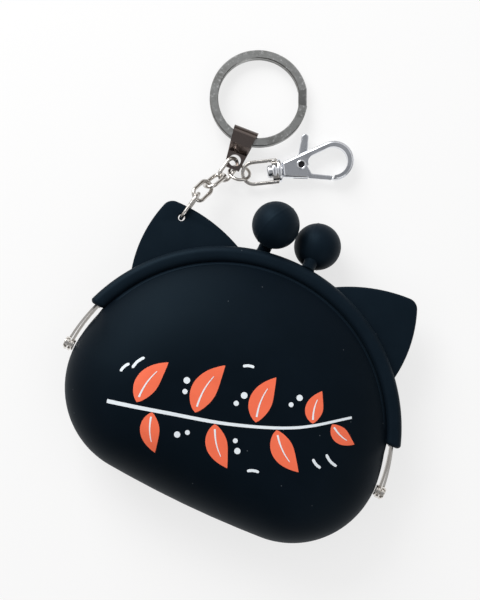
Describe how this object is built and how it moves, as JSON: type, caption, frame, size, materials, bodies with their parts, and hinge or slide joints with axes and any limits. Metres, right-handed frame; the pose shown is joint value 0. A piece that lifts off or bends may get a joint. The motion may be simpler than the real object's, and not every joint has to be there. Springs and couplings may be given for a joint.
{
  "type": "coin purse",
  "caption": "Round soft purse with a hinged kiss-lock frame, two clasp balls and ear tabs, and a short chain carrying a split ring and a swivel snap hook.",
  "frame": {"origin": "on the resting back face, straight below the middle of the frame's hinge line", "axes": "+X along the hinge line, +Y from the hinge line towards the clasp balls, +Z out of the printed front face"},
  "size_m": [0.106, 0.1353, 0.0291],
  "materials": {
    "silicone": "matte",
    "nickel": "polished",
    "steel": "satin"
  },
  "bodies": {
    "purse": {"pouch": "silicone", "back_hem": "silicone", "back_frame": "nickel", "back_clasp_knob": "nickel", "hinge_rivet_right": "nickel", "hinge_rivet_left": "nickel"},
    "front_jaw": {"front_flap": "silicone", "front_hem": "silicone", "front_frame": "nickel", "front_clasp_knob": "nickel"},
    "ear_link": {"ear_link": "nickel"},
    "chain_link_1": {"chain_link_1": "nickel"},
    "chain_link_2": {"chain_link_2": "nickel"},
    "chain_link_3": {"chain_link_3": "nickel"},
    "ring_strap": {"ring_strap": "nickel"},
    "split_ring": {"split_ring": "steel"},
    "jump_ring": {"jump_ring": "nickel"},
    "swivel_loop": {"swivel_loop": "nickel"},
    "clasp_hook": {"clasp_hook": "nickel", "gate_rivet": "nickel", "gate_spring": "steel"},
    "clasp_gate": {"clasp_gate": "nickel"}
  },
  "joints": [
    {"name": "mouth_open", "type": "hinge", "parent": "purse", "child": "front_jaw", "pos_m": [0, 0, 0.012], "axis": [1, 0, 0], "range_deg": [0, 60]},
    {"name": "ear_link_swing", "type": "hinge", "parent": "purse", "child": "ear_link", "pos_m": [-0.0375, 0.0482, 0.012], "axis": [0, 0, 1], "range_deg": [-8, 20]},
    {"name": "link_1_swing", "type": "hinge", "parent": "ear_link", "child": "chain_link_1", "pos_m": [-0.03634, 0.05477, 0.012], "axis": [0.9848, -0.1736, 0], "range_deg": [-15, 15]},
    {"name": "link_2_swing", "type": "hinge", "parent": "chain_link_1", "child": "chain_link_2", "pos_m": [-0.035, 0.05992, 0.00846], "axis": [-0.4877, -0.3941, -0.779], "range_deg": [-15, 15]},
    {"name": "link_3_swing", "type": "hinge", "parent": "chain_link_2", "child": "chain_link_3", "pos_m": [-0.03313, 0.0645, 0.0049], "axis": [0.5687, -0.6373, -0.52], "range_deg": [-15, 15]},
    {"name": "strap_swing", "type": "hinge", "parent": "chain_link_3", "child": "ring_strap", "pos_m": [-0.03089, 0.0716, 0.0033], "axis": [-0.0077, 0.0973, 0.9952], "range_deg": [-4, 10]},
    {"name": "ring_spin", "type": "hinge", "parent": "ring_strap", "child": "split_ring", "pos_m": [-0.03248, 0.09181, 0.00305], "axis": [-0.0077, 0.0973, 0.9952], "continuous": true},
    {"name": "jump_ring_swing", "type": "hinge", "parent": "chain_link_3", "child": "jump_ring", "pos_m": [-0.02995, 0.06783, 0.00234], "axis": [0.1727, 0.9794, -0.1045], "range_deg": [-10, 6]},
    {"name": "clasp_lift", "type": "hinge", "parent": "jump_ring", "child": "swivel_loop", "pos_m": [-0.02686, 0.06882, 0.0025], "axis": [0.5284, -0.849, 0], "range_deg": [0, 20]},
    {"name": "clasp_swivel", "type": "hinge", "parent": "swivel_loop", "child": "clasp_hook", "pos_m": [-0.01145, 0.07841, 0.0025], "axis": [0.849, 0.5284, 0], "continuous": true},
    {"name": "gate_press", "type": "hinge", "parent": "clasp_hook", "child": "clasp_gate", "pos_m": [-0.01193, 0.07917, 0.0025], "axis": [0, 0, 1], "range_deg": [0, 18], "stiffness_Nm_per_rad": 0.02}
  ]
}
